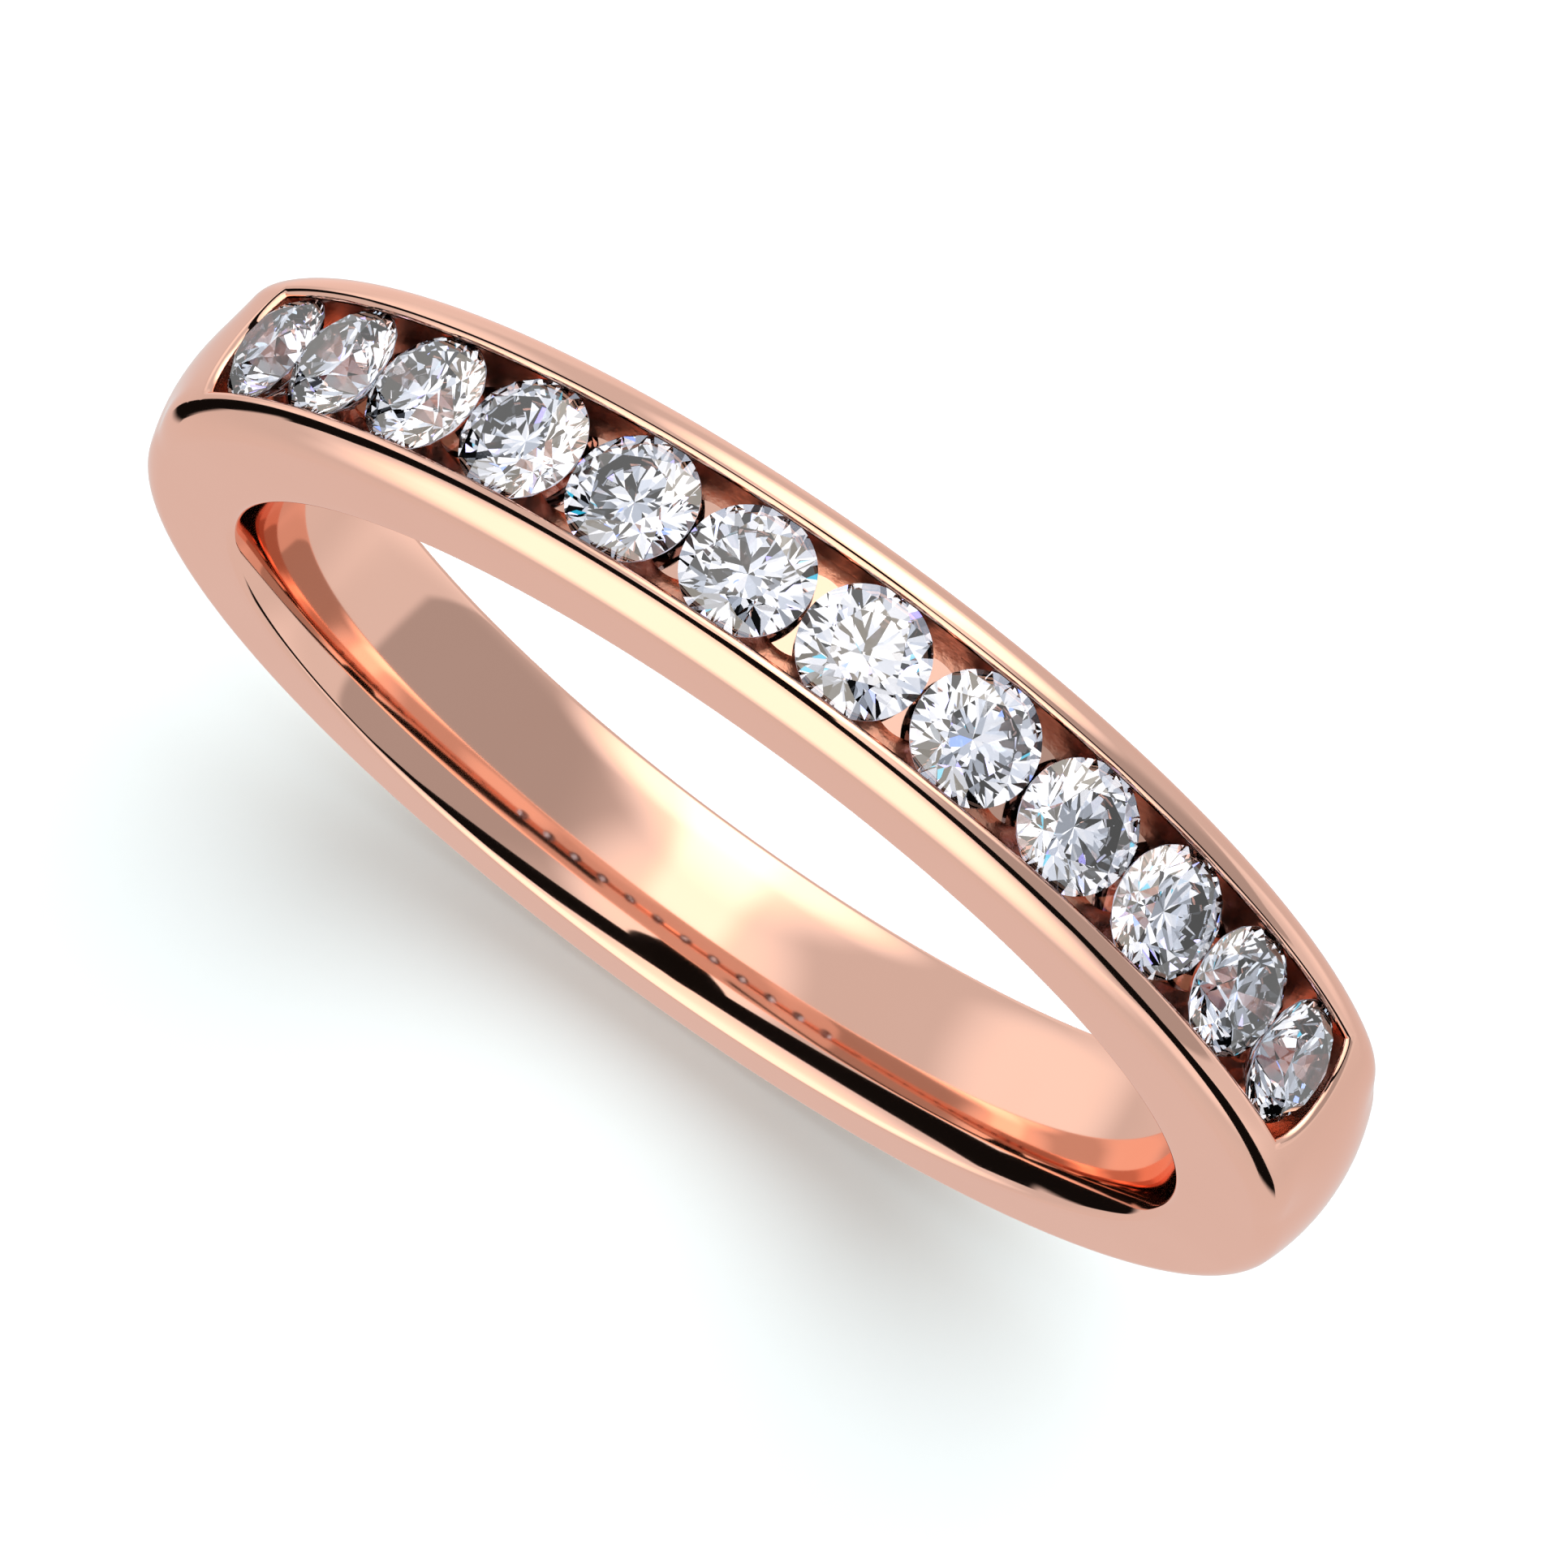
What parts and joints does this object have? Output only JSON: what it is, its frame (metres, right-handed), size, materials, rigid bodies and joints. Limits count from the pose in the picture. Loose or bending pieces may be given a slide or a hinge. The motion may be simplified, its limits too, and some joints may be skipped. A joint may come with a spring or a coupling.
{
  "type": "wedding band",
  "caption": "Channel-set wedding band: a polished rose gold comfort-fit ring with a row of round brilliant-cut diamonds set flush between two rails across its top half.",
  "frame": {"origin": "centre of the bore, halfway across the band", "axes": "+Y along the finger axis, +Z from the bore centre to the middle of the row of stones, +X along the band at the top"},
  "size_m": [0.0216, 0.003, 0.0217],
  "materials": {
    "rose_gold": "mirror polish, copper-rich rose gold",
    "diamond": "polished brilliant-cut facets"
  },
  "bodies": {
    "root": {"band": "rose_gold", "diamond_01": "diamond", "diamond_02": "diamond", "diamond_03": "diamond", "diamond_04": "diamond", "diamond_05": "diamond", "diamond_06": "diamond", "diamond_07": "diamond", "diamond_08": "diamond", "diamond_09": "diamond", "diamond_10": "diamond", "diamond_11": "diamond", "diamond_12": "diamond"}
  },
  "joints": []
}
